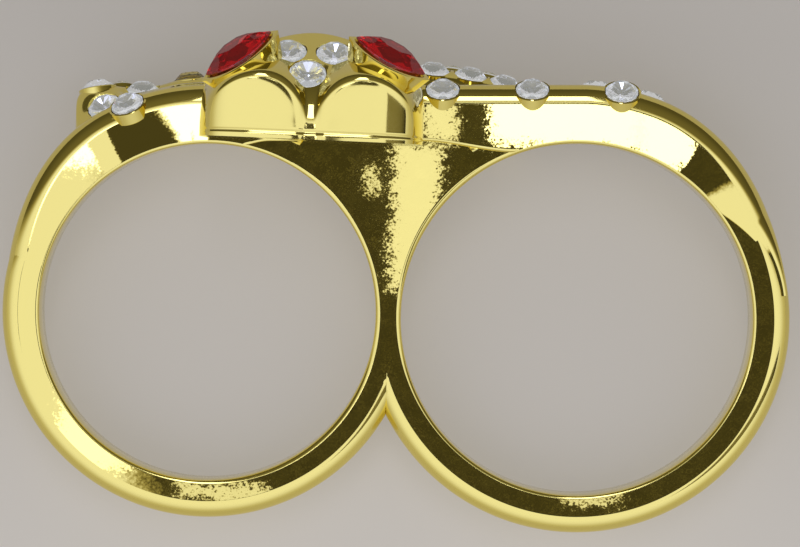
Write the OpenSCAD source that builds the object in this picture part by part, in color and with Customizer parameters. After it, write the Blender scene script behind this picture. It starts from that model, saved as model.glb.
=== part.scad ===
// Two finger ring: a cast band with two finger holes, a serpent lying across its top, and set stones.
// The model is drawn in the frame of the worn ring (X across the fingers, Y towards the serpent,
// Z along the fingers) and then leaned back, as it lies on its side on a table.

/* [Finger holes] */
// Diameter of the left finger hole
hole_l_d = 17.3; // [15:0.1:21]
// Diameter of the right finger hole
hole_r_d = 18.1; // [15:0.1:21]
// Wall of metal between the two holes
web_w = 1.3; // [1:0.1:3]

/* [Band] */
// Thickness of the band at its sides and bottom
band_t = 1.95; // [1.4:0.05:3]
// Width of the band along the fingers
band_w = 3.5; // [2.6:0.1:6]
// Radius of the band's rounded outer edges
shoulder_r = 0.85; // [0.3:0.05:1.1]
// Bevel round each hole's edge
rim_bevel = 0.16; // [0.05:0.01:0.3]
// How far the web reaches below the hole centres
web_drop = 3.2; // [0:0.1:5]

/* [Serpent] */
// Thickness of metal over each hole at the top
crest_t = 3.05; // [2.6:0.05:4.5]
// Height of the serpent's front flank
flank_h = 3.5; // [3.3:0.05:5]
// How far the serpent stands in front of the band
proud = 0.25; // [0.1:0.05:0.6]
// Radius of the serpent's rounded back
back_r = 0.95; // [0.5:0.05:1.2]
// Angle round the right hole where the tail ends
tail_end = 9; // [0:1:30]
// Distance of the coil's middle to the left of the left hole's centre
coil_out = 4.65; // [3:0.05:6]
// Outer radius of the coil's turn
coil_r = 2.7; // [2.2:0.05:3.2]
// How far the top of the coil's turn lies below the crest over the left hole
coil_drop = 0.2; // [0:0.05:0.8]
// Depth of the groove between the passes
groove = 0.9; // [0.3:0.05:1.2]
// Reach of the back pass to the right of the web
loop_reach = 7.4; // [4:0.1:8]

/* [Head] */
// Width of the head
head_w = 11.4; // [8:0.1:14]
// Height of the head from jaw to crown
head_h = 5.5; // [4:0.1:7]
// How far the snout stands in front of the band
snout = 4.9; // [2.5:0.1:6.5]
// Reach of the head behind the band's front
nape = 4.4; // [3:0.1:4.8]
// Distance of the head's middle to the left of the web
head_left = 4.3; // [2:0.1:7]
// Height of the jaw over the top of the left hole
jaw_gap = 0.35; // [0.2:0.05:1]

/* [Stones] */
// Diameter of the crystals on the body
gem_d = 1.7; // [1.2:0.05:1.8]
// Diameter of the crystals on the head
crown_gem_d = 1.9; // [1.5:0.05:1.95]
// Length of each eye stone
eye_l = 3.9; // [3:0.1:4.6]
// Width of each eye stone
eye_w = 2.3; // [1.5:0.1:2.6]
// Clearance between a stone and its seat
seat_gap = 0.04; // [0.02:0.01:0.1]

/* [Pose] */
// Lean of the ring when it lies on its side
lean = 6; // [4:0.5:12]

/* [Hidden] */
$fn = 64;
GOLD = [0.85, 0.68, 0.25];
CLEAR = [0.9, 0.93, 0.95];
RED = [0.75, 0.05, 0.08];

rl = hole_l_d / 2;
rr = hole_r_d / 2;
// Hole centres: both bands end level below, and the middle of the web is X 0
xl = -(rl + web_w / 2);
yr = rr - rl;
xr = sqrt(pow(rl + rr + web_w, 2) - yr * yr) + xl;

function mix(a, b, t) = a + (b - a) * t;
function ramp(t) = let (c = min(1, max(0, t))) c * c * (3 - 2 * c);
function unit(v) = v / norm(v);

// The flat that the leaned ring rests on: its height along its normal, and its Z at a height Y on the ring
rest_h = -(rl + band_t - shoulder_r) * sin(lean) - (band_w - shoulder_r) * cos(lean) - shoulder_r;
function rest_z(y) = (rest_h - y * sin(lean)) / cos(lean);

// Solid lofted through closed rings of equally many points, with flat ends. The points run
// counterclockwise as seen along the loft.
module loft(rings) {
  n = len(rings[0]);
  m = len(rings);
  polyhedron(
    points = [for (r = rings) each r],
    faces = concat(
      [[for (j = [n - 1 : -1 : 0]) j]],
      [for (i = [0 : m - 2], j = [0 : n - 1], k = [0 : 1])
        let (a = i * n + j, b = i * n + (j + 1) % n, c = a + n, d = b + n)
        k == 0 ? [a, d, c] : [a, b, d]],
      [[for (j = [0 : n - 1]) (m - 1) * n + j]]),
    convexity = 8);
}

// Front pass of the serpent: round the left hole, straight over the web and down round the right hole.
// Its steps run 0 to 1 on the left hole, 1 to 2 over the web and 2 to 3 down to the tail's tip.
left_end = 176;
sink = 0.08;
function crest_y(x) = x < xl
  ? sqrt(max(0, pow(rl + crest_t, 2) - pow(x - xl, 2)))
  : mix(rl + crest_t, yr + rr + crest_t, min(1, (x - xl) / (xr - xl)));
function left_t(a) = mix(crest_t, band_t - sink, ramp((a - 120) / 58));
function right_t(a) = mix(band_t - sink, crest_t, ramp((a - tail_end) / 62));
function pass_at(t, h) =
  t < 1 ? let (a = mix(left_end, 90, t), r = rl + left_t(a) + h) [xl + r * cos(a), r * sin(a)]
  : t < 2 ? let (x = mix(xl, xr, t - 1)) [x, crest_y(x) + h]
  : let (a = mix(90, tail_end, t - 2), r = rr + right_t(a) + h) [xr + r * cos(a), yr + r * sin(a)];
// Over the web the flank's lower edge is drawn up behind the head
flank_dip = 0.6;
function pass_low(t) = mix(flank_h - flank_dip * ramp((t - 1) / 0.15) * (1 - ramp((t - 1.55) / 0.27)), 0.35,
  ramp((t - 2.36) / 0.64));
function pass_front(t) = t < 2
  ? mix(0.03 - 0.15 * (1 - ramp(t / 0.15)), proud, ramp((t - 0.55) / 0.45))
  : mix(proud, -0.1, ramp((t - 2.4) / 0.6));
function pass_back(t) = mix(sink - band_w, pass_front(t) - 1.1, ramp((t - 2.3) / 0.7));
function pass_ring(t) = let (
    low = pass_low(t),
    z1 = pass_front(t),
    z2 = pass_back(t),
    r = min(back_r, low * 0.6))
  [for (p = concat(
      [[-low, z1]],
      [for (k = [0 : 5]) [r * (sin(18 * k) - 1), z1 + r * (cos(18 * k) - 1)]],
      [[0, z2 + r * 0.9], [-r * 0.25, z2 + r * 0.35], [-r * 0.7, z2], [-low, z2]]))
    let (q = pass_at(t, p[0])) [q[0], q[1], p[1]]];
module front_pass() {
  loft([for (t = concat([for (i = [0 : 13]) i / 14], [for (i = [0 : 7]) 1 + i / 8], [for (i = [0 : 20]) 2 + i / 20]))
    pass_ring(t)]);
}

// Back pass, with the round turn of the coil at its left end
coil_x = xl - coil_out;
coil_z = proud - coil_r - 0.15;
strand_w = coil_r / 2;
loop_round = 2.4;
function off_line(x, z) = x < coil_x
  ? abs(norm([x - coil_x, z - coil_z]) - strand_w)
  : min(abs(z - coil_z - strand_w), abs(z - coil_z + strand_w));
function hump(d) = sqrt(max(0, 1 - pow(min(1, d / (strand_w * 1.02)), 2.4)));
function coil_level(x) = mix(rl + crest_t - coil_drop, crest_y(x) + mix(0.5, 0.1, ramp((x - xl) / 6)),
  ramp((x - coil_x) / 3));
function lift(x, z) = (coil_level(x) - crest_y(x)) * ramp((-0.7 - z) / 2.4) - 0.7 * ramp((x - loop_reach + 3) / 3);
function coil_top(x, z) = crest_y(x) + lift(x, z) - groove * (1 - hump(off_line(x, z)));
function coil_half(x) = sqrt(max(0.02, 1 - pow((x - coil_x) / coil_r, 2))) * coil_r;
function coil_front(x) = coil_z + (x < coil_x + coil_r * 0.9 ? coil_half(x) : coil_r * 0.436);
function coil_back(x, y) = let (z = rest_z(y))
  x < coil_x ? max(z, coil_z - coil_half(x))
  : x < loop_reach - loop_round ? z
  : mix(0.2 - band_w, z, sqrt(max(0, 1 - pow((x - loop_reach + loop_round) / loop_round, 2))));
coil_foot = rl * 0.66;
function coil_ring(x) = let (
    foot = min(coil_top(x, coil_z) - 2.2, coil_foot + 2.6),
    z1 = coil_front(x),
    z2 = coil_back(x, coil_top(x, coil_back(x, crest_y(x)))))
  concat(
    [[x, foot, z1]],
    [for (k = [0 : 13]) let (z = mix(z1, z2, (1 - cos(180 * k / 13)) / 2)) [x, coil_top(x, z), z]],
    [[x, foot, coil_back(x, foot)]]);
module back_pass() {
  loft([for (x = concat(
      [for (i = [0 : 11]) coil_x + coil_r * mix(-0.99, 0.9, i / 11)],
      [for (i = [1 : 7]) mix(coil_x + coil_r * 0.9, loop_reach - loop_round, i / 7)],
      [for (i = [1 : 4]) loop_reach - loop_round + (loop_round - 0.1) * i / 4]))
    coil_ring(x)]);
}

// Neck: a low rounded rise from the loop to the head
neck_x = 1.8;
neck_r = [6.2, 1.95, 2.0];
neck_z = coil_z - strand_w + 0.75;
function neck_y(x, z) = let (
    u = pow(abs((x - neck_x) / neck_r[0]), 2.6) + pow(abs((z - neck_z) / neck_r[2]), 2.6))
  crest_y(neck_x) - 1 + neck_r[1] * pow(max(0, 1 - pow(u, 2.4 / 2.6)), 1 / 2.4) - 0.07 * (x - neck_x);
module neck() {
  loft([for (e = [0, 12, 25, 38, 50, 61, 71, 80]) let (c = cos(e), y0 = crest_y(neck_x) - 1)
    [for (j = [0 : 27]) let (
        a = -360 * j / 28,
        k = pow(pow(abs(sin(a)), 2.6) + pow(abs(cos(a)), 2.6), -1 / 2.6),
        x = neck_x + neck_r[0] * c * k * sin(a))
      [x, e == 0 ? y0 - 0.5 : neck_y(x, neck_z + neck_r[2] * c * k * cos(a)), neck_z + neck_r[2] * c * k * cos(a)]]]);
}

// Head: a broad snout over the front pass, square at its sides and sloping from the crown to the jaw
head_x = -head_left;
jaw_y = rl + jaw_gap;
head_side = 6;
function head_k(x) = pow(max(0, 1 - pow(abs(x / (head_w / 2)), head_side)), 1 / head_side);
function soft(d, w) = w * ln(1 + exp(d / w));
// The crown is a dome that runs down between the cheeks
crown_foot = 0.13 * head_h;
crown_front = 1.0;
function crown_z(x, y) = snout - 0.03 * x * x
  - (snout - crown_front) * pow(max(0, (y - crown_foot) / (head_h - crown_foot)), 2);
// Each cheek stands in front of the dome, with a round top and a tight edge
cheek_x = head_w / 4;
cheek_y = 0.18 * head_h;
cheek_r = [0.228 * head_w, 0.472 * head_h];
cheek_lean = 0.1;
cheek_steep = 2.6;
cheek_edge = 0.14;
function cheek_out(x, y) = cheek_r[0]
  * (norm([(abs(x) - cheek_x) / cheek_r[0], max(0, y - cheek_y) / cheek_r[1]]) - 1);
function cheek_z(x, y) = snout + cheek_lean * y - cheek_steep * soft(cheek_out(x, y), cheek_edge);
function crown_at(x, y) = let (k = head_k(x)) k * crown_z(x, max(0, y) / k);
// The top line is an arch: what lies high on the head is lower at its sides
arch = 0.3;
function head_y(x, v) = let (low = arch * (1 - exp(-2 * pow(x / (head_w / 2), 2))) * pow(v / head_h, 2))
  jaw_y + head_k(x) * v * (1 - low);
function head_ring(x) = let (k = head_k(x))
  concat(
    [for (i = [0 : 22]) let (v = head_h * i / 22, c = crown_z(x, v))
      [head_x + x, head_y(x, v), k * (c + soft(cheek_z(x, v) - c, 0.06))]],
    [for (i = [0 : 6]) let (a = 90 + 15 * i)
      [head_x + x, mix(jaw_y, head_y(x, head_h), sin(a)), nape * k * cos(a)]]);
module head() {
  loft([for (i = [0 : 36]) head_ring(head_w / 2 * sin(mix(-84.5, 84.5, i / 36)))]);
}

// A stone's place: its centre on the metal and the way that it faces
function tilted(x, y, z, n, sunk) = [[x, y, z] - sunk * n, n];
// On the front pass, over a hole or the web, leaning forward
function front_seat(x, tip) = tilted(x, crest_y(x) + back_r * (cos(tip) - 1), proud + back_r * (sin(tip) - 1),
  unit([(crest_y(x - 0.1) - crest_y(x + 0.1)) / 0.2 * cos(tip), cos(tip), sin(tip)]), gem_sunk);
// On the back pass, square to its surface
function coil_seat(x, z) = tilted(x, coil_top(x, z), z,
  unit([(coil_top(x - 0.3, z) - coil_top(x + 0.3, z)) / 0.6, 1, (coil_top(x, z - 0.3) - coil_top(x, z + 0.3)) / 0.6]),
  gem_sunk);
function neck_seat(x, z) = tilted(x, neck_y(x, z), z,
  unit([(neck_y(x - 0.3, z) - neck_y(x + 0.3, z)) / 0.6, 1, (neck_y(x, z - 0.3) - neck_y(x, z + 0.3)) / 0.6]),
  gem_sunk);
// On the crown of the head, at a place and height from the middle of the jaw
function head_seat(x, y) = tilted(head_x + x, jaw_y + y, crown_at(x, y),
  unit([(crown_at(x - 0.4, y) - crown_at(x + 0.4, y)) / 0.8,
    (crown_at(x, y - 0.4) - crown_at(x, y + 0.4)) / 0.8, 1]), gem_sunk);

gem_sunk = 0.12;
collar_wall = 0.12;
// Stones of the front row, from the web outwards: X and forward tip
FRONT_GEMS = [[2.3, 34], [6.9, 34], [11.5, 38], [-13.9, 34]];
// Stones of the back pass and its turn: X and Z
COIL_GEMS = [[-15.2, -1.5], [-15.65, -3.35], [-14.5, -4.75], [-13.3, -3.35], [-10.9, -4.1]];
// Stones of the neck, in two rows: X and Z
NECK_GEMS = [[5.6, -2.45], [4.7, -4.18], [3.75, -2.45], [2.8, -4.18], [1.8, -2.45]];
// Stones of the tail behind its front row: X and Z
TAIL_GEMS = [[10.3, -2.3], [13.1, -1.9]];
function tail_seat(x, z) = let (
    a = acos((x - xr) / (rr + crest_t)),
    r = rr + right_t(a))
  tilted(xr + r * cos(a), yr + r * sin(a), z, [cos(a), sin(a), 0], gem_sunk);
BODY_SEATS = concat(
  [for (g = FRONT_GEMS) front_seat(g[0], g[1])],
  [for (g = COIL_GEMS) coil_seat(g[0], g[1])],
  [for (g = NECK_GEMS) neck_seat(g[0], g[1])],
  [for (g = TAIL_GEMS) tail_seat(g[0], g[1])]);
HEAD_GEMS = [[-1.35, 4.5], [1.05, 4.5], [-0.28, 3.4]];
HEAD_SEATS = [for (g = HEAD_GEMS) head_seat(g[0], g[1])];
// Eyes: place from the middle of the jaw, slope down to the side and tip to the front
EYES = [[-3.5, 3.8, 36, 23], [3.65, 3.95, 26, 21]];
eye_back = 1.5;
eye_rise = 0.55;

module placed(seat) {
  translate(seat[0])
    rotate([0, acos(seat[1][2]), atan2(seat[1][1], seat[1][0])])
      children();
}

// Round stone with a flat table, sixteen facets on its crown and a flat back
module gem(d) {
  r = d / 2;
  loft([for (g = [[-0.42, 0.5, 0], [-0.08, 1, 0], [0, 1, 0], [0.27, 0.84, 22.5], [0.46, 0.5, 0]])
    [for (j = [0 : 7]) let (a = g[2] - 45 * j) [r * g[1] * cos(a), r * g[1] * sin(a), r * g[0]]]]);
}
// Collar that carries the stone where the metal falls away beside it
module gem_collar(d) {
  translate([0, 0, -d * 0.21 - 0.3])
    cylinder(h = d * 0.21 + 0.3, r = d / 2 + seat_gap + collar_wall);
}
module gem_seat(d) {
  translate([0, 0, -d * 0.21 - seat_gap])
    cylinder(h = d, r = d / 2 + seat_gap);
}

// Pointed oval between two arcs
module pointed_oval(l, w, h) {
  r = (l * l + w * w) / (4 * w);
  intersection() {
    translate([0, r - w / 2, 0]) cylinder(h = h, r = r);
    translate([0, w / 2 - r, 0]) cylinder(h = h, r = r);
  }
}
function oval_edge(l, w, a) = let (
    r = (l * l + w * w) / (4 * w),
    x = l / 2 * cos(a),
    y = sqrt(r * r - x * x) - r + w / 2)
  [x, sin(a) < 0 ? -y : y];
eye_deep = 0.55;
eye_high = 0.6;
module eye_stone() {
  loft([for (g = [[-eye_deep, 0.55, 0], [-0.07, 1, 0], [0.05, 1, 0], [eye_high * 0.62, 0.8, 15], [eye_high, 0.5, 0]])
    [for (j = [0 : 11]) let (p = oval_edge(eye_l, eye_w, g[2] - 30 * j)) [p[0] * g[1], p[1] * g[1], g[0]]]]);
}
module at_eye(e) {
  translate([head_x + e[0], jaw_y + e[1], snout - eye_back])
    rotate([0, 0, e[0] < 0 ? e[2] : -e[2]])
      rotate([e[3] - 90, 0, 0])
        translate([0, 0, eye_rise])
          children();
}
cup_wall = 0.3;
cup_foot = 0.76;
// Cup round an eye, narrower at its foot
module eye_cup() {
  loft([for (g = [[-eye_deep - 0.9, cup_foot], [-0.1, 1]])
    [for (j = [0 : 23]) let (p = oval_edge(eye_l + 2.5 * cup_wall, eye_w + 2 * cup_wall, 7.5 - 15 * j))
      [p[0] * g[1], p[1] * g[1], g[0]]]]);
}
module eye_seat() {
  translate([0, 0, -eye_deep - seat_gap])
    pointed_oval(eye_l + 2.4 * seat_gap, eye_w + 2 * seat_gap, eye_deep + 2);
}

// Finger band: flat at its sides, with round outer edges
module band(r) {
  rotate_extrude($fn = 128)
    union() {
      translate([r - 0.6, -band_w])
        square([band_t + 0.6 - shoulder_r, band_w]);
      translate([r + band_t - shoulder_r - 0.2, shoulder_r - band_w])
        square([shoulder_r + 0.2, band_w - 2 * shoulder_r]);
      for (z = [-shoulder_r, shoulder_r - band_w])
        translate([r + band_t - shoulder_r, z])
          circle(shoulder_r);
    }
}
// Hole through everything, with bevelled rims at the band's two sides
module finger_hole(r) {
  far = band_w + 8;
  translate([0, 0, -far])
    cylinder(h = 2 * far, r = r, $fn = 128);
  translate([0, 0, -rim_bevel])
    cylinder(h = rim_bevel, r1 = r, r2 = r + rim_bevel, $fn = 128);
  cylinder(h = far, r = r + rim_bevel, $fn = 128);
  translate([0, 0, -band_w])
    cylinder(h = rim_bevel, r1 = r + rim_bevel, r2 = r, $fn = 128);
  translate([0, 0, -far])
    cylinder(h = far - band_w, r = r + rim_bevel, $fn = 128);
}

module ring_casting() {
  color(GOLD)
    difference() {
      union() {
        translate([xl, 0, 0]) band(rl);
        translate([xr, yr, 0]) band(rr);
        translate([xl, -web_drop, -band_w])
          cube([xr - xl, web_drop + yr + rr, band_w]);
        front_pass();
        back_pass();
        neck();
        head();
        for (e = EYES) at_eye(e) eye_cup();
        for (s = BODY_SEATS) placed(s) gem_collar(gem_d);
        for (s = HEAD_SEATS) placed(s) gem_collar(crown_gem_d);
      }
      translate([xl, 0, 0]) finger_hole(rl);
      translate([xr, yr, 0]) finger_hole(rr);
      for (s = BODY_SEATS) placed(s) gem_seat(gem_d);
      for (s = HEAD_SEATS) placed(s) gem_seat(crown_gem_d);
      for (e = EYES) at_eye(e) eye_seat();
    }
}
module body_crystal(i) {
  color(CLEAR)
    placed(BODY_SEATS[i - 1]) gem(gem_d);
}
module head_crystal(i) {
  color(CLEAR)
    placed(HEAD_SEATS[i - 1]) gem(crown_gem_d);
}
module eye(e) {
  color(RED)
    at_eye(e) eye_stone();
}

// Lying on its side: leaned back, with the middle of its footprint at the origin
x_mid = (xl - rl + xr + rr) / 2;
y_low = -(rl + band_t - shoulder_r) * cos(lean) + shoulder_r * sin(lean) - shoulder_r;
y_high = jaw_y * cos(lean) + norm([head_h * cos(lean), nape * sin(lean)]);
module lying() {
  translate([-x_mid, -(y_low + y_high) / 2, -rest_h])
    rotate([lean, 0, 0])
      children();
}

lying() ring_casting();
lying() eye(EYES[0]);  // eye_left
lying() eye(EYES[1]);  // eye_right
for (i = [1 : 3])
  lying() head_crystal(i);
for (i = [1 : len(BODY_SEATS)])
  lying() body_crystal(i);
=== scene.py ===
# Two finger ring at rest on its side: one casting of two bands and a serpent, and its glass stones
import math

import bmesh
import bpy
import numpy as np
from mathutils import Matrix, Vector


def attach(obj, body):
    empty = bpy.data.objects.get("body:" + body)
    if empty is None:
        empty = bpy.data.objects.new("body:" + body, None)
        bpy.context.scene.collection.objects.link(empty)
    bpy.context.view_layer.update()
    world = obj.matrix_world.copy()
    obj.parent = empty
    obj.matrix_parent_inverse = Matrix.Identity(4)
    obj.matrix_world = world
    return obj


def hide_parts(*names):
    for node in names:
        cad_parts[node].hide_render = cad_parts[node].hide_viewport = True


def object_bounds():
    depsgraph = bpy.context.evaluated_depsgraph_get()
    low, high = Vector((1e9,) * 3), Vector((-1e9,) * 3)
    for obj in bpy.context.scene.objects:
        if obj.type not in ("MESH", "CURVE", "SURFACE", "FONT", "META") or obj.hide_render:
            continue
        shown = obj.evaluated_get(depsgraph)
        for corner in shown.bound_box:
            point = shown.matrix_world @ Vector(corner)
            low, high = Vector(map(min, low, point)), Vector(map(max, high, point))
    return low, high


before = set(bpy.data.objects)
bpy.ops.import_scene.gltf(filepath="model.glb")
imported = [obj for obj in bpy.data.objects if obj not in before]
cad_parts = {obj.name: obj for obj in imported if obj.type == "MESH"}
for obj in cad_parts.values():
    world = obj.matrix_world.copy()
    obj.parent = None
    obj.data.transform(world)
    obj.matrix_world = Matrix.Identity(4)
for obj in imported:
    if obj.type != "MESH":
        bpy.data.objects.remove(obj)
first_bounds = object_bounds()

# Sizes, in mm, as in the solid model
# Radii of the left and right holes, and the wall between them
RL, RR, WEB = 8.65, 9.05, 1.3
# The bands: thickness, depth, round shoulder, and bevel of the holes
BAND_T, BAND_W, SHOULDER, BEVEL = 1.95, 3.5, 0.85, 0.16
# The serpent's pass: crest over a hole, height of its flank and the dip in it, how far its face
# stands forward, and its round edge
CREST, FLANK, DIP, PROUD, BACK_R = 3.05, 3.5, 0.6, 0.25, 0.95
# Its ends, in degrees round the right and the left hole, and how deep they sink into the bands
TAIL_END, LEFT_END, SINK = 9, 176, 0.08
# The coil: its middle from the left hole's, half its depth, its drop below the crest, and the groove
# between its strands; then the right end of the loop behind
COIL_OUT, COIL_R, COIL_DROP, GROOVE, LOOP = 4.65, 2.7, 0.2, 0.9, 7.4
# The head: width, height, reach forward and back, its middle from the web's, and the jaw over the hole
HEAD_W, HEAD_H, SNOUT, NAPE, HEAD_LEFT, JAW_GAP = 11.4, 5.5, 4.9, 4.4, 4.3, 0.35
# The stones: diameters on the body and the crown, an eye's length and width, and the gap in a seat
GEM_D, CROWN_D, EYE_L, EYE_W, SEAT = 1.7, 1.9, 3.9, 2.3, 0.04
# How far the ring leans back as it rests, in degrees
LEAN = 6

XL = -(RL + WEB / 2)
YR = RR - RL
XR = math.sqrt((RL + RR + WEB) ** 2 - YR * YR) + XL
LEAN_R = math.radians(LEAN)
LEAN_COS, LEAN_SIN = math.cos(LEAN_R), math.sin(LEAN_R)
REST_H = -(RL + BAND_T - SHOULDER) * LEAN_SIN - (BAND_W - SHOULDER) * LEAN_COS - SHOULDER
X_MID = (XL - RL + XR + RR) / 2
JAW_Y = RL + JAW_GAP
Y_LOW = -(RL + BAND_T - SHOULDER) * LEAN_COS + SHOULDER * LEAN_SIN - SHOULDER
Y_HIGH = JAW_Y * LEAN_COS + math.hypot(HEAD_H * LEAN_COS, NAPE * LEAN_SIN)
SHIFT = np.array([-X_MID, -(Y_LOW + Y_HIGH) / 2, -REST_H])
ROT = np.array([[1, 0, 0], [0, LEAN_COS, -LEAN_SIN], [0, LEAN_SIN, LEAN_COS]])


def to_row(points):
    """Points in mm, as in the solid model, as they lie in the frame, in metres."""
    return (np.asarray(points, float) @ ROT.T + SHIFT) * 0.001


def mix(a, b, t):
    return a + (b - a) * t


def ramp(t):
    c = np.clip(t, 0, 1)
    return c * c * (3 - 2 * c)


def rest_z(y):
    """Where the surface that the ring rests on lies behind height y."""
    return (REST_H - y * LEAN_SIN) / LEAN_COS


# Looks
def new_material(name):
    m = bpy.data.materials.new(name)
    m.use_nodes = True
    return m, m.node_tree.nodes, m.node_tree.links, m.node_tree.nodes["Principled BSDF"]


GOLD = (0.87, 0.735, 0.2, 1)
# The layers of the cast grain: noise scale, and share of the tilt
GRAIN_LAYERS = ((9000, 1), (3500, 0.8), (450, 0.5))
GLASS_IOR = 1.6


def gold(name, rough, grain):
    """Gold plate. grain tilts the surface at random, in radians."""
    m, nodes, links, b = new_material(name)
    b.inputs["Base Color"].default_value = GOLD
    b.inputs["Metallic"].default_value = 1
    b.inputs["Roughness"].default_value = rough
    if grain:
        co = nodes.new("ShaderNodeTexCoord")
        geo = nodes.new("ShaderNodeNewGeometry")
        last = geo.outputs["Normal"]
        for scale, share in GRAIN_LAYERS:
            n = nodes.new("ShaderNodeTexNoise")
            n.inputs["Scale"].default_value = scale
            n.inputs["Detail"].default_value = 2
            links.new(co.outputs["Object"], n.inputs["Vector"])
            s = nodes.new("ShaderNodeVectorMath")
            s.operation = "SUBTRACT"
            s.inputs[1].default_value = (0.5, 0.5, 0.5)
            links.new(n.outputs["Color"], s.inputs[0])
            k = nodes.new("ShaderNodeVectorMath")
            k.operation = "MULTIPLY_ADD"
            k.inputs[1].default_value = (grain * share * 4,) * 3
            links.new(s.outputs[0], k.inputs[0])
            links.new(last, k.inputs[2])
            last = k.outputs[0]
        unit = nodes.new("ShaderNodeVectorMath")
        unit.operation = "NORMALIZE"
        links.new(last, unit.inputs[0])
        links.new(unit.outputs[0], b.inputs["Normal"])
    return m


POLISHED = gold("polished_gold", 0.07, 0)
CAST = gold("cast_gold", 0.012, 0.001)


def glass(name, colour):
    m, nodes, links, b = new_material(name)
    b.inputs["Base Color"].default_value = colour
    b.inputs["Roughness"].default_value = 0.0
    b.inputs["IOR"].default_value = GLASS_IOR
    b.inputs["Transmission Weight"].default_value = 1
    return m


def foil(name, colour, glow):
    """The mirror coat under a stone. Its glow stands for light that the facets gather."""
    m, nodes, links, b = new_material(name)
    b.inputs["Base Color"].default_value = colour
    b.inputs["Metallic"].default_value = 1
    b.inputs["Roughness"].default_value = 0.06
    b.inputs["Emission Color"].default_value = colour
    b.inputs["Emission Strength"].default_value = glow
    return m


CRYSTAL = glass("crystal", (0.97, 0.985, 1, 1))
CRYSTAL_FOIL = foil("crystal_foil", (0.9, 0.92, 0.94, 1), 0.2)
RUBY = glass("red_glass", (0.75, 0.02, 0.035, 1))
RUBY_FOIL = foil("red_foil", (0.8, 0.3, 0.3, 1), 0.08)


# Meshes
def make(name, verts, faces, mats, which=None, sharp=35, row=False):
    """An object from points in mm, or in the frame's metres where row is true.

    which is the material of each face, and edges bent by more than sharp degrees stay sharp.
    """
    me = bpy.data.meshes.new(name)
    pts = np.asarray(verts, float) if row else to_row(verts)
    me.from_pydata(pts.tolist(), [], [list(map(int, f)) for f in faces])
    for m in mats:
        me.materials.append(m)
    if which is not None:
        me.polygons.foreach_set("material_index", np.asarray(which, np.int32))
    o = bpy.data.objects.new(name, me)
    bpy.context.scene.collection.objects.link(o)
    shade(me, sharp)
    return o


def shade(me, sharp):
    bm = bmesh.new()
    bm.from_mesh(me)
    bm.normal_update()
    for f in bm.faces:
        f.smooth = sharp > 0
    for e in bm.edges:
        e.smooth = len(e.link_faces) == 2 and e.calc_face_angle(4) < math.radians(sharp)
    bm.to_mesh(me)
    bm.free()
    me.update()


def loft(rings, closed=False):
    """A tube through rings of equally many points: its points, its faces, and each face's row."""
    m, n = rings.shape[:2]
    faces, rows = [], []
    for i in range(m if closed else m - 1):
        a0, b0 = i * n, ((i + 1) % m) * n
        for j in range(n):
            k = (j + 1) % n
            faces.append((a0 + j, a0 + k, b0 + k, b0 + j))
            rows.append(j)
    if not closed:
        faces.append(tuple(range(n)))
        faces.append(tuple((m - 1) * n + j for j in range(n - 1, -1, -1)))
        rows += [-1, -1]
    return rings.reshape(-1, 3), faces, rows


def flip_if_inside(o):
    bm = bmesh.new()
    bm.from_mesh(o.data)
    if bm.calc_volume(signed=True) < 0:
        bmesh.ops.reverse_faces(bm, faces=bm.faces)
        bm.to_mesh(o.data)
    bm.free()


def face_out(me):
    bm = bmesh.new()
    bm.from_mesh(me)
    bmesh.ops.recalc_face_normals(bm, faces=bm.faces)
    bm.to_mesh(me)
    bm.free()


def points_of(me):
    co = np.zeros(len(me.vertices) * 3)
    me.vertices.foreach_get("co", co)
    return co.reshape(-1, 3)


def crest_y(x):
    """Height of the serpent's crest over x."""
    x = np.asarray(x, float)
    arc = np.sqrt(np.maximum(0, (RL + CREST) ** 2 - (x - XL) ** 2))
    flat = mix(RL + CREST, YR + RR + CREST, np.minimum(1, (x - XL) / (XR - XL)))
    return np.where(x < XL, arc, flat)


def hole_y(x):
    """Top of the holes' bevelled edges over x."""
    best = -99.0
    for cx, cy, r in ((XL, 0, RL), (XR, YR, RR)):
        q = (r + BEVEL) ** 2 - (x - cx) ** 2
        if q > 0:
            best = max(best, cy + math.sqrt(q))
    return best


def left_t(a):
    """Thickness from the left hole out to the crest, at an angle in degrees."""
    return mix(CREST, BAND_T - SINK, ramp((a - 120) / 58))


def right_t(a):
    """Thickness from the right hole out to the crest, at an angle in degrees."""
    return mix(BAND_T - SINK, CREST, ramp((a - TAIL_END) / 62))


# Bands and web
MID_LINE = (RL * RL - RR * RR + (RL + RR + WEB) ** 2 + 3 * (RL - RR)) / (2 * (RL + RR + WEB))
ACROSS = math.atan2(YR, XR - XL)
# The flat plate between the bands ends at these heights
PLATE_TOP, PLATE_LOW = 9.42, -3.05
BAND_STEPS = 420


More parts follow.
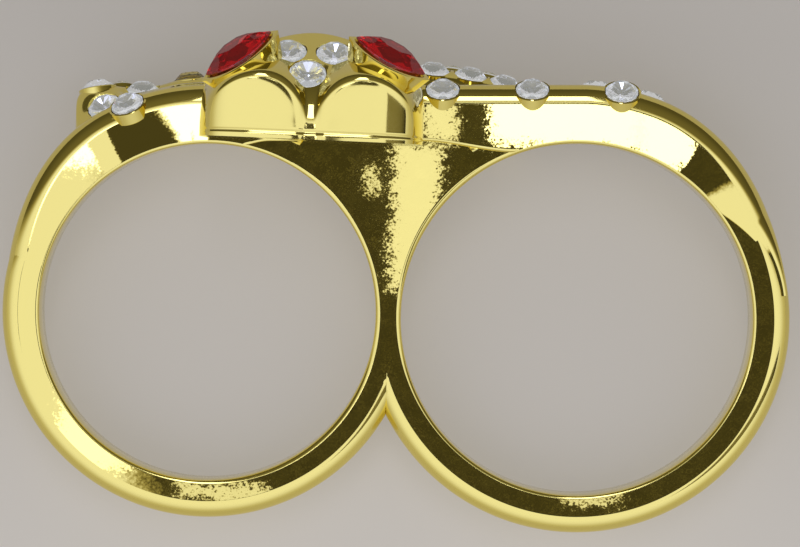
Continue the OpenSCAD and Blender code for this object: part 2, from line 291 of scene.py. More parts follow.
def band_mesh(name, cx, cy, r, towards, to_mid):
    """One band with its half of the plate between the bands.

    towards is the direction of the other band, and to_mid is how far the line between the two is.
    """
    outer = r + BAND_T - 0.0005
    flat_r = outer - SHOULDER
    rings, n_flat = [], None
    for i in range(BAND_STEPS):
        a = 2 * math.pi * i / BAND_STEPS
        ca = math.cos(a - towards)
        r_mid = to_mid / ca if ca > 0.05 else 1e9
        y_mid = cy + r_mid * math.sin(a)
        top = (PLATE_TOP - cy) / math.sin(a) if math.sin(a) > 0.05 else 1e9
        plate = r_mid < 1e8 and y_mid > PLATE_LOW
        if plate:
            reach = min(r_mid, top)
            plate = reach > outer - 0.02 or (r_mid < outer and y_mid < PLATE_TOP)
        soft = BEVEL + 0.1 * max(0.0, math.cos(a - towards + 0.6)) ** 2
        pts = []
        for k in range(5):
            t = math.pi / 2 * k / 4
            pts.append((r + soft * (1 - math.cos(t)), soft * (math.sin(t) - 1)))
        n0 = len(pts)
        end = reach if plate else min(flat_r, r_mid)
        start = r + soft
        for f in (0.03, 0.2, 0.4, 0.6, 0.8, 0.97, 1.0):
            pts.append((mix(start, end, f), 0.0))
        n_flat = (n0 - 1, len(pts) - 1)
        for k in range(1, 9):
            t = math.pi / 2 * k / 8
            rad = flat_r + SHOULDER * math.sin(t)
            z = SHOULDER * (math.cos(t) - 1)
            if plate:
                rad = end
            elif rad > r_mid:
                rad = r_mid
                level = max(0, 1 - ((rad - flat_r) / SHOULDER) ** 2)
                z = SHOULDER * (math.sqrt(level) - 1) if rad > flat_r else 0.0
                z -= 0.0005 * k
            if plate:
                z = -0.06 * k
            pts.append((rad, z))
        half = pts + [(pts[-1][0], -BAND_W / 2)]
        ring = half + [(p[0], -BAND_W - p[1]) for p in reversed(pts)]
        rings.append([(cx + p[0] * math.cos(a), cy + p[0] * math.sin(a), p[1]) for p in ring])
    rings = np.array(rings)
    verts, faces, rows = loft(rings, closed=True)
    n = rings.shape[1]
    which = [1 if n_flat[0] <= j < n_flat[1] or n_flat[0] <= n - 2 - j < n_flat[1] else 0 for j in rows]
    o = make(name, verts, faces, [POLISHED, CAST], which, 40)
    flip_if_inside(o)
    return o


# Serpent
def pass_at(t, h):
    """Point of the pass, h over its crest: t is 0 to 1 up the left, 1 to 2 across, 2 to 3 down the tail."""
    if t < 1:
        a = math.radians(mix(LEFT_END, 90, t))
        r = max(RL + BEVEL + 0.01, RL + float(left_t(mix(LEFT_END, 90, t))) + h)
        return XL + r * math.cos(a), r * math.sin(a)
    if t < 2:
        x = mix(XL, XR, t - 1)
        return x, max(float(crest_y(x)) + h, hole_y(x) + 0.01)
    d = mix(90, TAIL_END, t - 2)
    a = math.radians(d)
    r = max(RR + BEVEL + 0.01, RR + float(right_t(d)) + h)
    return XR + r * math.cos(a), YR + r * math.sin(a)


def pass_low(t):
    dip = DIP * float(ramp((t - 1) / 0.15)) * (1 - float(ramp((t - 1.55) / 0.27)))
    return mix(FLANK - dip, 0.35, float(ramp((t - 2.36) / 0.64)))


def pass_front(t):
    if t < 2:
        return mix(0.03 - 0.15 * (1 - float(ramp(t / 0.15))), PROUD, float(ramp((t - 0.55) / 0.45)))
    return mix(PROUD, -0.1, float(ramp((t - 2.4) / 0.6)))


def pass_back(t):
    return mix(SINK - BAND_W, pass_front(t) - 1.1, float(ramp((t - 2.3) / 0.7)))


# Points of the bevel under the flank's face and of the rear edge, as shares of their size
BEVEL_SHAPE = ((0, 1), (0.25, 0.5), (0.6, 0.15), (1, 0))
REAR_SHAPE = ((0, 0.9), (0.08, 0.6), (0.25, 0.35), (0.45, 0.14), (0.7, 0))
FACE_STEPS, EDGE_STEPS = 15, 12


def pass_ring(t):
    low, z1, z2 = pass_low(t), pass_front(t), pass_back(t)
    r = min(BACK_R, low * 0.6)
    edge = 0.03 + 0.07 * float(ramp((t - 1.45) / 0.15)) * (1 - float(ramp((t - 1.85) / 0.15)))
    prof = [(-low + up * edge, z1 - deep * edge) for up, deep in BEVEL_SHAPE]
    prof += [(mix(-low, -r, f), z1) for f in np.linspace(0.08, 0.97, FACE_STEPS)]
    for k in range(EDGE_STEPS + 1):
        a = math.radians(90 / EDGE_STEPS * k)
        prof.append((r * (math.sin(a) - 1), z1 + r * (math.cos(a) - 1)))
    prof += [(0, mix(z1 - r, z2 + r * 0.9, f)) for f in (0.25, 0.5, 0.75)]
    prof += [(-r * down, z2 + r * deep) for down, deep in REAR_SHAPE] + [(-low, z2)]
    return [(*pass_at(t, h), z) for h, z in prof]


def front_pass():
    left = np.linspace(0, 1, 90, endpoint=False)
    across = 1 + np.linspace(0, 1, 120, endpoint=False)
    ts = np.concatenate([left, across, 2 + np.linspace(0, 1, 130)])
    verts, faces, rows = loft(np.array([pass_ring(t) for t in ts]))
    first = len(BEVEL_SHAPE) - 1
    which = [1 if first <= j < first + FACE_STEPS else 0 for j in rows]
    o = make("serpent_front_pass", verts, faces, [POLISHED, CAST], which, 40)
    flip_if_inside(o)
    return o


COIL_X, COIL_Z, STRAND = XL - COIL_OUT, PROUD - COIL_R - 0.15, COIL_R / 2
LOOP_ROUND, COIL_FOOT = 2.4, RL * 0.66
# The coil comes no further forward than this, about level with the left flank
COIL_FRONT = 0.04


def off_line(x, z):
    """Distance from the middle line of the nearest strand."""
    if x < COIL_X:
        return abs(math.hypot(x - COIL_X, z - COIL_Z) - STRAND)
    return min(abs(z - COIL_Z - STRAND), abs(z - COIL_Z + STRAND))


def hump(d):
    return math.sqrt(max(0, 1 - min(1, d / (STRAND * 1.02)) ** 2.4))


def coil_top(x, z):
    c = float(crest_y(x))
    beyond = c + mix(0.5, 0.1, float(ramp((x - XL) / 6)))
    level = mix(RL + CREST - COIL_DROP, beyond, float(ramp((x - COIL_X) / 3)))
    lift = (level - c) * float(ramp((-0.7 - z) / 2.4)) - 0.7 * float(ramp((x - LOOP + 3) / 3))
    return c + lift - GROOVE * (1 - hump(off_line(x, z)))


def coil_half(x):
    return math.sqrt(max(0.0009, 1 - ((x - COIL_X) / COIL_R) ** 2)) * COIL_R


def coil_front(x):
    return min(COIL_FRONT, COIL_Z + (coil_half(x) if x < COIL_X + COIL_R * 0.9 else COIL_R * 0.436))


def coil_back(x, y):
    z = rest_z(y)
    if x < COIL_X:
        return max(z, COIL_Z - coil_half(x))
    if x < LOOP - LOOP_ROUND:
        return z
    return mix(0.2 - BAND_W, z, math.sqrt(max(0, 1 - ((x - LOOP + LOOP_ROUND) / LOOP_ROUND) ** 2)))


def coil_ring(x):
    foot = max(min(coil_top(x, COIL_Z) - 2.2, COIL_FOOT + 2.6), hole_y(x) + 0.01)
    z1 = coil_front(x)
    z2 = coil_back(x, coil_top(x, coil_back(x, float(crest_y(x)))))
    zs = [mix(z1, z2, (1 - math.cos(math.pi * k / 56)) / 2) for k in range(57)]
    y1 = coil_top(x, z1)
    y2 = coil_top(x, z2)
    ring = [(x, foot, z1), (x, mix(foot, y1, 0.6), z1)]
    ring += [(x, coil_top(x, z), z) for z in zs]
    ring += [(x, mix(foot, y2, 0.6), coil_back(x, mix(foot, y2, 0.6))), (x, foot, coil_back(x, foot))]
    return ring


def back_pass():
    xs = [COIL_X - COIL_R * math.cos(math.radians(a)) for a in np.linspace(2, 154, 80)]
    xs += list(np.linspace(xs[-1], LOOP - LOOP_ROUND, 100))[1:]
    for a in np.linspace(0, 90, 30)[1:]:
        xs.append(LOOP - LOOP_ROUND + (LOOP_ROUND - 0.1) * math.sin(math.radians(a)))
    verts, faces, rows = loft(np.array([coil_ring(x) for x in xs]))
    o = make("serpent_back_pass", verts, faces, [POLISHED], None, 50)
    flip_if_inside(o)
    return o


NECK_X, NECK_R = 1.8, (6.2, 1.95, 2.0)
NECK_Z = COIL_Z - STRAND + 0.75
# Powers of the rounded outline of the neck, seen from above and from the side
NECK_PLAN, NECK_DOME = 2.6, 2.4


def neck_y(x, z):
    u = abs((x - NECK_X) / NECK_R[0]) ** NECK_PLAN + abs((z - NECK_Z) / NECK_R[2]) ** NECK_PLAN
    dome = NECK_R[1] * max(0, 1 - u ** (NECK_DOME / NECK_PLAN)) ** (1 / NECK_DOME)
    return float(crest_y(NECK_X)) - 1 + dome - 0.07 * (x - NECK_X)


def neck():
    y0 = float(crest_y(NECK_X)) - 1
    rings = []
    for e in np.linspace(0, 88, 34):
        c = math.cos(math.radians(e))
        ring = []
        for j in range(96):
            a = -2 * math.pi * j / 96
            k = (abs(math.sin(a)) ** NECK_PLAN + abs(math.cos(a)) ** NECK_PLAN) ** (-1 / NECK_PLAN)
            x = NECK_X + NECK_R[0] * c * k * math.sin(a)
            z = NECK_Z + NECK_R[2] * c * k * math.cos(a)
            ring.append((x, y0 - 0.5 if e == 0 else neck_y(x, z), z))
        rings.append(ring)
    verts, faces, rows = loft(np.array(rings))
    o = make("serpent_neck", verts, faces, [POLISHED], None, 50)
    flip_if_inside(o)
    return o


HEAD_X, HEAD_SIDE, ARCH = -HEAD_LEFT, 6, 0.3
CROWN_FOOT, CROWN_FRONT = 0.13 * HEAD_H, 1.0
CHEEK_X, CHEEK_Y, CHEEK_RX, CHEEK_RY = HEAD_W / 4, 0.18 * HEAD_H, 0.228 * HEAD_W, 0.472 * HEAD_H
CHEEK_LEAN, CHEEK_STEEP, CHEEK_EDGE, CHEEK_BLEND = 0.1, 2.6, 0.14, 0.06
# The groove between the lips: depth, height over the jaw, and half its width
LIP_DEEP, LIP_Y, LIP_HALF = 0.07, 0.36, 0.07


def head_k(x):
    """How much of the head's section is left at x, from 1 in the middle to 0 at its ends."""
    return max(0, 1 - abs(x / (HEAD_W / 2)) ** HEAD_SIDE) ** (1 / HEAD_SIDE)


def soft(d, w):
    """d where it is over 0, else 0, with the corner rounded over w."""
    return w * math.log(1 + math.exp(d / w))


def crown_z(x, y):
    rise = max(0, (y - CROWN_FOOT) / (HEAD_H - CROWN_FOOT))
    return SNOUT - 0.03 * x * x - (SNOUT - CROWN_FRONT) * rise ** 2


def cheek_z(x, y):
    out = math.hypot((abs(x) - CHEEK_X) / CHEEK_RX, max(0, y - CHEEK_Y) / CHEEK_RY) - 1
    return SNOUT + CHEEK_LEAN * y - CHEEK_STEEP * soft(CHEEK_RX * out, CHEEK_EDGE)


def crown_at(x, y):
    k = max(head_k(x), 1e-6)
    return k * crown_z(x, max(0, y) / k)


def head_y(x, v):
    low = ARCH * (1 - math.exp(-2 * (x / (HEAD_W / 2)) ** 2)) * (v / HEAD_H) ** 2
    return JAW_Y + head_k(x) * v * (1 - low)


def head():
    rings = []
    for x in HEAD_W / 2 * np.sin(np.radians(np.linspace(-87, 87, 200))):
        k = head_k(x)
        ring = []
        for i in range(101):
            v = HEAD_H * i / 100
            c = crown_z(x, v)
            lip = LIP_DEEP * math.exp(-(((v - LIP_Y) / LIP_HALF) ** 2))
            z = k * (c + soft(cheek_z(x, v) - c, CHEEK_BLEND) - lip)
            ring.append((HEAD_X + x, head_y(x, v), z))
        for i in range(1, 31):
            a = math.radians(90 + 3 * i)
            ring.append((HEAD_X + x, mix(JAW_Y, head_y(x, HEAD_H), math.sin(a)), NAPE * k * math.cos(a)))
        rings.append(ring)
    verts, faces, rows = loft(np.array(rings))
    o = make("serpent_head", verts, faces, [POLISHED], None, 50)
    flip_if_inside(o)
    return o


# Seats
def unit(v):
    """v at a length of 1."""
    v = np.array(v, float)
    return v / np.linalg.norm(v)


GEM_SUNK = 0.12
# Front row: x, and how far the stone is tipped forward from straight up, in degrees
FRONT_GEMS = ((2.3, 34), (6.9, 34), (11.5, 38), (-13.9, 34))
# The others on the body: x and z
COIL_GEMS = ((-15.2, -1.5), (-15.65, -3.35), (-14.5, -4.75), (-13.3, -3.35), (-10.9, -4.1))
NECK_GEMS = ((5.6, -2.45), (4.7, -4.18), (3.75, -2.45), (2.8, -4.18), (1.8, -2.45))
TAIL_GEMS = ((10.3, -2.3), (13.1, -1.9))
# On the crown: x and y from the middle of the jaw
HEAD_GEMS = ((-1.35, 4.5), (1.05, 4.5), (-0.28, 3.4))
# Eyes: x and y from there, turn outwards, and tip forward from straight up, in degrees
EYES = ((-3.5, 3.8, 36, 23), (3.65, 3.95, 26, 21))
# How far an eye lies behind the snout, its rise along its own axis, and the cup's width at its foot
EYE_BACK, EYE_RISE, CUP_FOOT = 1.5, 0.55, 0.76


def seat(p, n):
    """A seat: the middle of its rim, a little below the surface point p, and the way n that it faces."""
    return np.array(p, float) - GEM_SUNK * n, n


def cosd(a):
    return math.cos(math.radians(a))


def sind(a):
    return math.sin(math.radians(a))


def front_seat(x, tip):
    c = lambda q: float(crest_y(q))
    return seat(
        (x, c(x) + BACK_R * (cosd(tip) - 1), PROUD + BACK_R * (sind(tip) - 1)),
        unit(((c(x - 0.1) - c(x + 0.1)) / 0.2 * cosd(tip), cosd(tip), sind(tip))),
    )


def surface_seat(f, x, z):
    across, along = (f(x - 0.3, z) - f(x + 0.3, z)) / 0.6, (f(x, z - 0.3) - f(x, z + 0.3)) / 0.6
    return seat((x, f(x, z), z), unit((across, 1, along)))


def head_seat(x, y):
    f = crown_at
    return seat(
        (HEAD_X + x, JAW_Y + y, f(x, y)),
        unit(((f(x - 0.4, y) - f(x + 0.4, y)) / 0.8, (f(x, y - 0.4) - f(x, y + 0.4)) / 0.8, 1)),
    )


def tail_seat(x, z):
    a = math.acos((x - XR) / (RR + CREST))
    r = RR + float(right_t(math.degrees(a)))
    return seat((XR + r * math.cos(a), YR + r * math.sin(a), z), np.array((math.cos(a), math.sin(a), 0)))


BODY_SEATS = (
    [front_seat(*g) for g in FRONT_GEMS]
    + [surface_seat(coil_top, *g) for g in COIL_GEMS]
    + [surface_seat(neck_y, *g) for g in NECK_GEMS]
    + [tail_seat(*g) for g in TAIL_GEMS]
)
HEAD_SEATS = [head_seat(*g) for g in HEAD_GEMS]


def rot(axis, deg):
    return np.array(Matrix.Rotation(math.radians(deg), 3, axis))


def placed(s):
    """What takes a stone's own points to its seat."""
    p, n = s
    m = rot("Z", math.degrees(math.atan2(n[1], n[0]))) @ rot("Y", math.degrees(math.acos(n[2])))
    return lambda pts: np.asarray(pts, float) @ m.T + p


def at_eye(e):
    m = rot("Z", e[2] if e[0] < 0 else -e[2]) @ rot("X", e[3] - 90)
    p = np.array((HEAD_X + e[0], JAW_Y + e[1], SNOUT - EYE_BACK))
    return lambda pts: (np.asarray(pts, float) + (0, 0, EYE_RISE)) @ m.T + p


def oval_edge(l, w, a):
    """Point at angle a of an oval of two arcs that meet at its tips."""
    r = (l * l + w * w) / (4 * w)
    x = l / 2 * math.cos(a)
    y = math.sqrt(r * r - x * x) - r + w / 2
    return x, -y if math.sin(a) < 0 else y


def eye_edge(l, w, n):
    return [oval_edge(l, w, 2 * math.pi * j / n) for j in range(n)]


def circle_edge(r, n):
    return [(r * math.cos(2 * math.pi * j / n), r * math.sin(2 * math.pi * j / n)) for j in range(n)]


def prism(edge, low, high, place):
    return loft(np.array([place([(x, y, z) for x, y in edge]) for z in (low, high)]))


# A round stone's height and depth, as shares of its diameter
STONE_HIGH, STONE_DEEP = 0.23, 0.21
EYE_HIGH, EYE_DEEP = 0.6, 0.55
EYE_SEAT_L, EYE_SEAT_W = EYE_L + 2.4 * SEAT, EYE_W + 2 * SEAT
ROUND_SEATS = [(s, GEM_D) for s in BODY_SEATS] + [(s, CROWN_D) for s in HEAD_SEATS]
SEAT_STEPS = 48


def seat_cutter():
    """One object of the space of all seats, up to well over the metal."""
    cutters = []
    for s, d in ROUND_SEATS:
        cutters.append(prism(circle_edge(d / 2 + SEAT, SEAT_STEPS), -d * STONE_DEEP - SEAT, d, placed(s)))
    for e in EYES:
        cutters.append(prism(eye_edge(EYE_SEAT_L, EYE_SEAT_W, 64), -EYE_DEEP - SEAT, 2.0, at_eye(e)))
    verts, faces, n0 = [], [], 0
    for v, f, rows in cutters:
        verts.append(v)
        faces += [tuple(i + n0 for i in q) for q in f]
        n0 += len(v)
    o = make("seat_cutter", np.concatenate(verts), faces, [POLISHED], None, 40)
    face_out(o.data)
    return o


def cut_seats(o, cutter):
    mod = o.modifiers.new("seats", "BOOLEAN")
    mod.operation = "DIFFERENCE"
    mod.solver = "EXACT"
    mod.object = cutter
    mod.use_self = True
    dg = bpy.context.evaluated_depsgraph_get()
    me = bpy.data.meshes.new_from_object(o.evaluated_get(dg))
    o.modifiers.clear()
    old = o.data
    o.data = me
    bpy.data.meshes.remove(old)
    shade(me, 42)


cutter = seat_cutter()
bands = [
    band_mesh("left_band", XL, 0, RL, ACROSS, MID_LINE),
    band_mesh("right_band", XR, YR, RR, ACROSS + math.pi, RL + RR + WEB - MID_LINE),
]
bodies = [front_pass(), back_pass(), neck(), head()]
for o in bodies:
    cut_seats(o, cutter)
bpy.data.objects.remove(cutter)


# Collars and eye cups
# The round rim of a cup, the wall and the floor of a stone's collar, and an eye's cup
CUP_RIM = 0.05
COLLAR_WALL, COLLAR_FLOOR = 0.12, 0.3
EYE_CUP_L, EYE_CUP_W, EYE_CUP_TOP, EYE_CUP_FLOOR = EYE_L + 0.72, EYE_W + 0.6, -0.1, 0.9


def wall(edge_out, edge_in, low, top, deep, place, name, foot=1):
    """A cup: its outer side, a rounded lip, its inner side and its floor. foot is how wide it is below."""
    n = len(edge_out)
    eo, ei = np.array(edge_out), np.array(edge_in)
    rings = [[(x * foot, y * foot, low) for x, y in eo], [(x, y, top - CUP_RIM) for x, y in eo]]
    for k in range(5):
        t = k / 4
        z = top - CUP_RIM + CUP_RIM * math.sin(math.pi * t)
        rings.append([(*mix(eo[j], ei[j], t), z) for j in range(n)])
    rings.append([(x, y, deep) for x, y in ei])
    verts, faces, rows = loft(np.array([place(r) for r in rings]))
    o = make(name, verts, faces, [POLISHED], None, 50)
    flip_if_inside(o)
    return o


cups = []
for i, (s, d) in enumerate(ROUND_SEATS):
    r, deep = d / 2 + SEAT, -d * STONE_DEEP
    out, inn = circle_edge(r + COLLAR_WALL, SEAT_STEPS), circle_edge(r, SEAT_STEPS)
    cups.append(wall(out, inn, deep - COLLAR_FLOOR, 0.0, deep - SEAT, placed(s), "collar_%d" % (i + 1)))
for e, side in zip(EYES, ("left", "right")):
    out, inn = eye_edge(EYE_CUP_L, EYE_CUP_W, 96), eye_edge(EYE_SEAT_L, EYE_SEAT_W, 96)
    low, deep = -EYE_DEEP - EYE_CUP_FLOOR, -EYE_DEEP - SEAT
    cups.append(wall(out, inn, low, EYE_CUP_TOP, deep, at_eye(e), "eye_cup_" + side, CUP_FOOT))


def join(name, objs):
    verts, faces, which, n0 = [], [], [], 0
    for o in objs:
        verts.append(points_of(o.data))
        for p in o.data.polygons:
            faces.append(tuple(v + n0 for v in p.vertices))
            which.append(p.material_index)
        n0 += len(o.data.vertices)
    made = make(name, np.concatenate(verts), faces, [POLISHED, CAST], which, 42, row=True)
    for o in objs:
        bpy.data.objects.remove(o)
    return made


collars = join("stone_cups", cups)
gold_pieces = bands + bodies + [collars]
low_corner, high_corner = (np.array(corner) for corner in first_bounds)
for o in gold_pieces:
    # The finer mesh stays inside the box of the solids
    inside = np.clip(points_of(o.data), low_corner, high_corner)
    o.data.vertices.foreach_set("co", inside.ravel())
    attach(o, "root")
for o in gold_pieces:
    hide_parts("ring_casting")


# Stones
# The kite facets' outer point and height, the girdle's two edges, and the flat foot of the cone
KITE_OUT, KITE_HIGH, GIRDLE_UP, GIRDLE_DOWN, CULET = 0.52, 0.56, 0.04, -0.05, 0.12


def cut_stone(name, edge, high, deep, table, place, mats, node):
    """A stone with a table, star, kite and girdle facets over a foiled cone.

    edge gives the girdle's point at an angle, and table is how wide the table is.
    """
    n = 8
    turn = lambda k: 2 * math.pi * k / n
    ring = lambda f, z, off: [(edge(turn(j + off))[0] * f, edge(turn(j + off))[1] * f, z) for j in range(n)]
    pts = ring(table, high, 0.5) + ring(mix(table, 1, KITE_OUT), high * KITE_HIGH, 0)
    rim = [edge(turn(j / 2)) for j in range(2 * n)]
    pts += [(x, y, GIRDLE_UP) for x, y in rim] + [(x, y, GIRDLE_DOWN) for x, y in rim]
    pts += [(x * CULET, y * CULET, -deep) for x, y in rim]
    # First points of the table, the kites, the girdle's upper and lower edge, and the foot
    t0, k0, g0, l0, c0 = 0, n, 2 * n, 4 * n, 6 * n
    faces = [tuple(t0 + j for j in range(n))]
    for j in range(n):
        p = (j - 1) % n
        faces.append((k0 + j, t0 + j, t0 + p))
        g = g0 + 2 * j
        gn, gp = g0 + (2 * j + 1) % (2 * n), g0 + (2 * j - 1) % (2 * n)
        faces.append((t0 + j, k0 + j, gn, k0 + (j + 1) % n))
        faces.append((k0 + j, g, gn))
        faces.append((k0 + j, gp, g))
    crown = len(faces)
    for j in range(2 * n):
        q = (j + 1) % (2 * n)
        faces.append((g0 + j, l0 + j, l0 + q, g0 + q))
    for j in range(2 * n):
        q = (j + 1) % (2 * n)
        faces.append((l0 + j, c0 + j, c0 + q, l0 + q))
    faces.append(tuple(c0 + j for j in range(2 * n - 1, -1, -1)))
    which = [0] * (crown + 2 * n) + [1] * (2 * n + 1)
    o = make(name, place(pts), faces, mats, which, 0)
    face_out(o.data)
    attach(o, "root")
    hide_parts(node)
    return o


def turned(place, deg):
    m = rot("Z", deg)
    return lambda pts: place(np.asarray(pts, float) @ m.T)


def round_stone(name, d, place, node):
    edge = lambda a: (d / 2 * math.cos(a), d / 2 * math.sin(a))
    foiled = [CRYSTAL, CRYSTAL_FOIL]
    cut_stone(name, edge, d * STONE_HIGH, d * STONE_DEEP, 0.55, place, foiled, node)


for i, s in enumerate(BODY_SEATS):
    round_stone("body_stone_%d" % (i + 1), GEM_D, turned(placed(s), 17 * i), "body_crystal_%d" % (i + 1))
for i, s in enumerate(HEAD_SEATS):
    round_stone("head_stone_%d" % (i + 1), CROWN_D, turned(placed(s), 11 * i), "head_crystal_%d" % (i + 1))
for e, side in zip(EYES, ("left", "right")):
    cut_stone("eye_stone_" + side, lambda a: oval_edge(EYE_L, EYE_W, a), EYE_HIGH, EYE_DEEP, 0.5,
              at_eye(e), [RUBY, RUBY_FOIL], "eye_" + side)


# Floor, light and camera
bpy.ops.mesh.primitive_plane_add(size=4, location=(0, 0, 0))
floor = bpy.context.object
floor.name = "floor"
m, nodes, links, b = new_material("paper")
b.inputs["Base Color"].default_value = (0.35, 0.32, 0.25, 1)
# The paper glows: painted light that fills in the ring's soft shadows
b.inputs["Emission Color"].default_value = (1, 0.95, 0.88, 1)
# The painted glow is a little brighter towards the bottom of the picture, a painted fall of light
place = nodes.new("ShaderNodeTexCoord")
parts = nodes.new("ShaderNodeSeparateXYZ")
links.new(place.outputs["Object"], parts.inputs[0])
glow = nodes.new("ShaderNodeMapRange")
glow.inputs["From Min"].default_value = 0.014
glow.inputs["From Max"].default_value = -0.014
glow.inputs["To Min"].default_value = 0.215
glow.inputs["To Max"].default_value = 0.3
links.new(parts.outputs["Y"], glow.inputs["Value"])
links.new(glow.outputs["Result"], b.inputs["Emission Strength"])
b.inputs["Roughness"].default_value = 0.9
b.inputs["Specular IOR Level"].default_value = 0.1
floor.data.materials.append(m)

# The camera: its tilt to the ring's face and its roll, in degrees, its place over the face and its
# distance, in mm, and the picture's pixels to the mm there; then the picture's size in pixels
ALPHA, ROLL, CAM_X, CAM_Y, CAM_D, PX_MM = 1.0, 2.432, 0.511, 2.395, 210.0, 19.47
PICTURE_W, PICTURE_H, SENSOR = 800, 547, 36
tilt = math.radians(ALPHA - LEAN)
yv = Vector((0, math.cos(tilt), -math.sin(tilt)))
zv = Vector((0, math.sin(tilt), math.cos(tilt)))
xv = Vector((1, 0, 0))
rolled = math.radians(ROLL)
right = xv * math.cos(rolled) + yv * math.sin(rolled)
up = -xv * math.sin(rolled) + yv * math.cos(rolled)
loc = (Vector(SHIFT) + xv * CAM_X + yv * CAM_Y + zv * CAM_D) * 0.001
cam = bpy.data.objects.new("camera", bpy.data.cameras.new("camera"))
bpy.context.scene.collection.objects.link(cam)
cam.matrix_world = Matrix((*zip(right, up, zv, loc), (0, 0, 0, 1)))
cam.data.sensor_width = SENSOR
cam.data.lens = SENSOR * CAM_D * PX_MM / PICTURE_W
cam.data.clip_start = 0.01
bpy.context.scene.camera = cam

# The studio is a sky that depends on the direction alone: bright below and at the sides, dim above
# the picture, with a dark patch round the camera that holds small bright cards.
world = bpy.data.worlds.new("studio")
bpy.context.scene.world = world
world.use_nodes = True
sky_nodes, sky_links = world.node_tree.nodes, world.node_tree.links
sky_nodes.clear()


def node(kind, **inputs):
    n = sky_nodes.new(kind)
    for k, v in inputs.items():
        if hasattr(v, "links"):
            sky_links.new(v, n.inputs[k])
        else:
            n.inputs[k].default_value = v
    return n


def calc(op, a, b=None, c=None):
    n = sky_nodes.new("ShaderNodeMath")
    n.operation = op
    for i, v in enumerate((a, b, c)):
        if v is None:
            continue
        if hasattr(v, "links"):
            sky_links.new(v, n.inputs[i])
        else:
            n.inputs[i].default_value = v
    return n.outputs[0]


def smooth(v, lo, hi):
    n = sky_nodes.new("ShaderNodeMapRange")
    n.interpolation_type = "SMOOTHSTEP"
    sky_links.new(v, n.inputs["Value"])
    n.inputs["From Min"].default_value = lo
    n.inputs["From Max"].default_value = hi
    return n.outputs["Result"]


sky_place = sky_nodes.new("ShaderNodeTexCoord")
leaned = sky_nodes.new("ShaderNodeVectorRotate")
leaned.rotation_type = "X_AXIS"
leaned.inputs["Angle"].default_value = -LEAN_R
sky_links.new(sky_place.outputs["Generated"], leaned.inputs["Vector"])
split = sky_nodes.new("ShaderNodeSeparateXYZ")
sky_links.new(leaned.outputs[0], split.inputs[0])
dx, dy, dz = split.outputs
ahead = calc("MAXIMUM", dz, 0.02)
u = calc("DIVIDE", dx, ahead)
v = calc("DIVIDE", dy, ahead)
overhead = smooth(dz, 0.05, 0.3)


def card(px0, py0, px1, py1, soft=0.0008):
    """Mask of a card whose mirror image on the flat face lies in this box of the picture."""
    def at(px, py):
        ax, ay = (px - PICTURE_W / 2) / PX_MM, (PICTURE_H / 2 - py) / PX_MM
        x = ax * math.cos(rolled) - ay * math.sin(rolled) + CAM_X
        y = ax * math.sin(rolled) + ay * math.cos(rolled) + CAM_Y
        return (x - CAM_X) / CAM_D, (y - CAM_Y - math.sin(math.radians(ALPHA)) * CAM_D) / CAM_D

    u0, v1 = at(px0, (py0 + py1) / 2)[0], at((px0 + px1) / 2, py0)[1]
    u1, v0 = at(px1, (py0 + py1) / 2)[0], at((px0 + px1) / 2, py1)[1]
    return patch(u0, u1, v0, v1, soft)


def patch(u0, u1, v0, v1, soft):
    """Mask of the directions whose slopes u and v lie in this box."""
    def span(w, lo, hi):
        past = smooth(w, hi - soft, hi + soft)
        return calc("MULTIPLY", smooth(w, lo - soft, lo + soft), calc("SUBTRACT", 1.0, past))

    return calc("MULTIPLY", calc("MULTIPLY", span(u, u0, u1), span(v, v0, v1)), overhead)


# Broad light: full towards the bottom and the sides, weak towards the top
towards_top = smooth(dy, 0.1, 0.3)
level_side = calc("MULTIPLY_ADD", smooth(dz, 0.1, 0.95), 0.45, 0.55)
broad = calc("MULTIPLY", level_side, calc("MULTIPLY_ADD", towards_top, -0.84, 1.0))
# Dark patch round the camera
du = calc("DIVIDE", calc("SUBTRACT", u, 0.04), 0.115)
dv = calc("DIVIDE", calc("ADD", v, 0.02), 0.12)
rad = calc("SQRT", calc("ADD", calc("MULTIPLY", du, du), calc("MULTIPLY", dv, dv)))
near = calc("MULTIPLY", calc("SUBTRACT", 1.0, smooth(rad, 0.93, 1.04)), overhead)
level = calc("MULTIPLY", broad, calc("MULTIPLY_ADD", near, -0.95, 1.0))
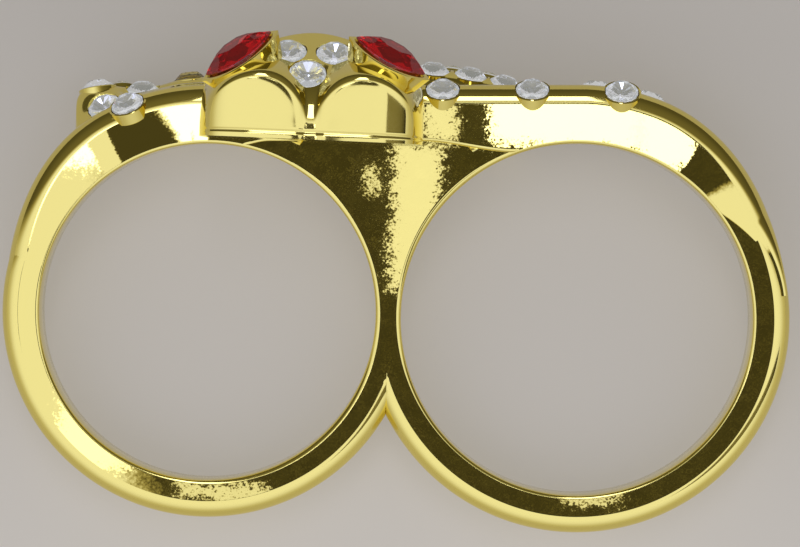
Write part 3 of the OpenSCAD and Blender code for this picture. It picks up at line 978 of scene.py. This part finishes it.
# Mottled brown inside the dark patch
slopes = node("ShaderNodeCombineXYZ", X=u, Y=v).outputs[0]
spots = node("ShaderNodeTexNoise", Vector=slopes, Scale=700.0, Detail=3.0)
mottle = calc("MULTIPLY", calc("MAXIMUM", calc("SUBTRACT", spots.outputs["Fac"], 0.5), 0.0), 0.45)
level = calc("MULTIPLY_ADD", near, mottle, level)
# Cards by the box of pixels where the flat faces mirror them: left, top, right, bottom, and power
CARDS = (
    (490, 60, 640, 147, 3.0),
    (640, 60, 700, 172, 3.0),
    (391, 146, 440, 288, 1.0),
    (367, 168, 379, 192, 0.95),
    (424, 100, 457, 140, 1.0),
    (60, 380, 130, 470, 0.9),
    (178, 484, 266, 500, 0.9),
    (563, 494, 622, 505, 0.9),
)
for x0, y0, x1, y1, power in CARDS:
    level = calc("MULTIPLY_ADD", card(x0, y0, x1, y1), power, level)
# Cards by their slopes, for the parts of the metal that lean: lowest and highest u, lowest and
# highest v, and power. The first three are seen in the left flank.
SIDE_CARDS = (
    (-0.16, -0.12, -0.004, 0.04, 2.5),
    (-0.12, -0.07, 0.006, 0.04, 2.5),
    (-0.175, -0.122, -0.05, -0.007, -0.93),
    (-0.13, 0.07, 0.26, 0.85, 3.0),
    (0.25, 1.5, -0.38, -0.17, -0.8),
)
for u0, u1, v0, v1, power in SIDE_CARDS:
    level = calc("MULTIPLY_ADD", patch(u0, u1, v0, v1, 0.0015), power, level)
bg = sky_nodes.new("ShaderNodeBackground")
col = sky_nodes.new("ShaderNodeCombineColor")
sky_links.new(level, col.inputs[0])
# Bright light is white, and dim light is warm
white = smooth(level, 0.2, 1.0)
sky_links.new(calc("MULTIPLY", level, calc("MULTIPLY_ADD", white, 0.14, 0.9)), col.inputs[1])
sky_links.new(calc("MULTIPLY", level, calc("MULTIPLY_ADD", white, 0.85, 0.55)), col.inputs[2])
sky_links.new(col.outputs[0], bg.inputs["Color"])
bg.inputs["Strength"].default_value = 1.0
out = sky_nodes.new("ShaderNodeOutputWorld")
sky_links.new(bg.outputs[0], out.inputs["Surface"])

bpy.context.scene.view_settings.view_transform = "Standard"
